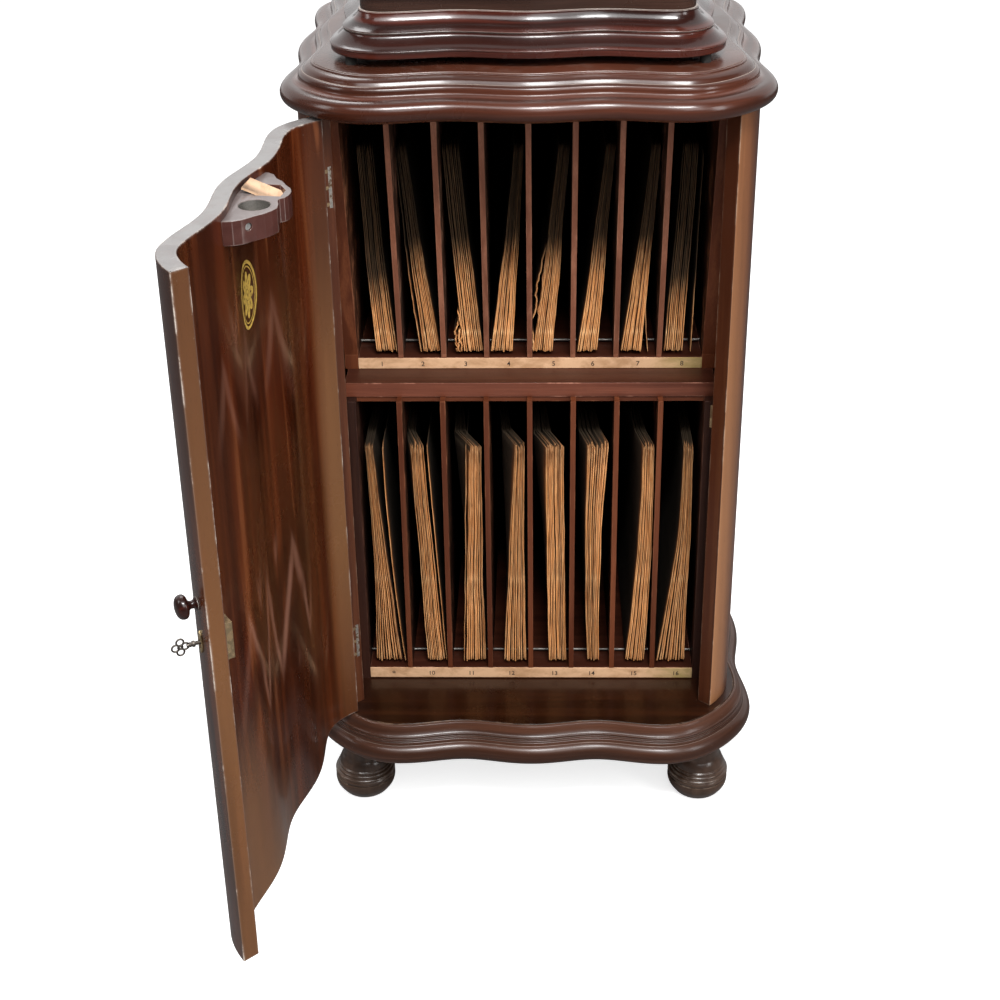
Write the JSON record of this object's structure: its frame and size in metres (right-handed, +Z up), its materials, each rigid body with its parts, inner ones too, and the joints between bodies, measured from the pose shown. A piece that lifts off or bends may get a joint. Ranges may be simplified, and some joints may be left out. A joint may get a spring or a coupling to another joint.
{
  "type": "gramophone record cabinet",
  "caption": "Serpentine record cabinet on bun feet with a moulded cornice, one hinged lockable door and a two-tier divided rack for sleeved discs.",
  "frame": {"origin": "on the ground at the centre of the body's plan", "axes": "+Z up, the door side faces -Y, +X to the right seen from the front"},
  "size_m": [0.6036, 0.9306, 1.037],
  "materials": {
    "mahogany": "gloss",
    "moulding_wood": "gloss",
    "dark_wood": "satin",
    "rack_wood": "satin",
    "ivory_strip": "satin",
    "brass": "polished",
    "steel": "bright",
    "key_iron": "dark",
    "felt": "matt",
    "bracket_wood": "satin",
    "pale_wood": "matt",
    "sleeve_paper": "matt"
  },
  "bodies": {
    "cabinet": {"base_moulding": "moulding_wood", "base_floor": "mahogany", "base_frame": "dark_wood", "foot_front_left": "moulding_wood", "foot_front_right": "moulding_wood", "foot_rear_left": "moulding_wood", "foot_rear_right": "moulding_wood", "side_panel_left": "mahogany", "side_panel_right": "mahogany", "back_panel": "mahogany", "cornice_board": "moulding_wood", "cornice_moulding": "moulding_wood", "case_moulding": "moulding_wood", "case_wall": "mahogany", "case_deck": "mahogany", "case_pads": "felt", "mid_shelf": "rack_wood", "rack_sides_lower": "rack_wood", "rack_sides_upper": "rack_wood", "rack_floor_lower": "rack_wood", "rack_floor_upper": "rack_wood", "rack_top_lower": "rack_wood", "rack_back": "dark_wood", "dividers_lower": "rack_wood", "dividers_upper": "rack_wood", "rods_lower": "steel", "rods_upper": "steel", "label_strip_lower": "ivory_strip", "label_strip_upper": "ivory_strip", "hinge_frame_leaves": "brass", "hinge_pins": "steel", "frame_screws": "brass", "strike_plate": "brass"},
    "door": {"door_panel": "mahogany", "hinge_door_leaves": "brass", "door_screws": "brass", "door_knob": "moulding_wood", "escutcheon": "brass", "lock_case": "brass", "needle_bracket": "bracket_wood", "bracket_screws": "steel"},
    "lock_bolt": {"lock_bolt": "brass"},
    "key": {"key": "key_iron"},
    "needle_stick": {"needle_stick": "pale_wood"},
    "bundle_01": {"records_01": "sleeve_paper"},
    "bundle_02": {"records_02": "sleeve_paper"},
    "bundle_03": {"records_03": "sleeve_paper"},
    "bundle_04": {"records_04": "sleeve_paper"},
    "bundle_05": {"records_05": "sleeve_paper"},
    "bundle_06": {"records_06": "sleeve_paper"},
    "bundle_07": {"records_07": "sleeve_paper"},
    "bundle_08": {"records_08": "sleeve_paper"},
    "bundle_09": {"records_09": "sleeve_paper"},
    "bundle_10": {"records_10": "sleeve_paper"},
    "bundle_11": {"records_11": "sleeve_paper"},
    "bundle_12": {"records_12": "sleeve_paper"},
    "bundle_13": {"records_13": "sleeve_paper"},
    "bundle_14": {"records_14": "sleeve_paper"},
    "bundle_15": {"records_15": "sleeve_paper"},
    "bundle_16": {"records_16": "sleeve_paper"}
  },
  "joints": [
    {"name": "door_swing", "type": "hinge", "parent": "cabinet", "child": "door", "pos_m": [-0.22109, -0.21598, 0.5108], "axis": [0, 0, -1], "range_deg": [-98.68, 61]},
    {"name": "key_turn", "type": "hinge", "parent": "door", "child": "key", "pos_m": [-0.29982, -0.63473, 0.51], "axis": [-0.8822, -0.4709, 0], "range_deg": [0, 90]},
    {"name": "bolt_slide", "type": "slide", "parent": "door", "child": "lock_bolt", "axis": [0.5634, -0.8262, 0], "range_m": [0, 0.009]},
    {"name": "stick_lift", "type": "slide", "parent": "door", "child": "needle_stick", "axis": [0, 0, 1], "range_m": [0, 0.02]},
    {"name": "pull_01", "type": "slide", "parent": "cabinet", "child": "bundle_01", "axis": [0, -1, 0], "range_m": [0, 0.24]},
    {"name": "pull_02", "type": "slide", "parent": "cabinet", "child": "bundle_02", "axis": [0, -1, 0], "range_m": [0, 0.24]},
    {"name": "pull_03", "type": "slide", "parent": "cabinet", "child": "bundle_03", "axis": [0, -1, 0], "range_m": [0, 0.24]},
    {"name": "pull_04", "type": "slide", "parent": "cabinet", "child": "bundle_04", "axis": [0, -1, 0], "range_m": [0, 0.24]},
    {"name": "pull_05", "type": "slide", "parent": "cabinet", "child": "bundle_05", "axis": [0, -1, 0], "range_m": [0, 0.24]},
    {"name": "pull_06", "type": "slide", "parent": "cabinet", "child": "bundle_06", "axis": [0, -1, 0], "range_m": [0, 0.24]},
    {"name": "pull_07", "type": "slide", "parent": "cabinet", "child": "bundle_07", "axis": [0, -1, 0], "range_m": [0, 0.24]},
    {"name": "pull_08", "type": "slide", "parent": "cabinet", "child": "bundle_08", "axis": [0, -1, 0], "range_m": [0, 0.24]},
    {"name": "pull_09", "type": "slide", "parent": "cabinet", "child": "bundle_09", "axis": [0, -1, 0], "range_m": [0, 0.29]},
    {"name": "pull_10", "type": "slide", "parent": "cabinet", "child": "bundle_10", "axis": [0, -1, 0], "range_m": [0, 0.29]},
    {"name": "pull_11", "type": "slide", "parent": "cabinet", "child": "bundle_11", "axis": [0, -1, 0], "range_m": [0, 0.29]},
    {"name": "pull_12", "type": "slide", "parent": "cabinet", "child": "bundle_12", "axis": [0, -1, 0], "range_m": [0, 0.29]},
    {"name": "pull_13", "type": "slide", "parent": "cabinet", "child": "bundle_13", "axis": [0, -1, 0], "range_m": [0, 0.29]},
    {"name": "pull_14", "type": "slide", "parent": "cabinet", "child": "bundle_14", "axis": [0, -1, 0], "range_m": [0, 0.29]},
    {"name": "pull_15", "type": "slide", "parent": "cabinet", "child": "bundle_15", "axis": [0, -1, 0], "range_m": [0, 0.29]},
    {"name": "pull_16", "type": "slide", "parent": "cabinet", "child": "bundle_16", "axis": [0, -1, 0], "range_m": [0, 0.29]}
  ],
  "couplings": [
    {"joint": "key_turn", "follows": "bolt_slide", "rad_per_m": 174.5}
  ]
}
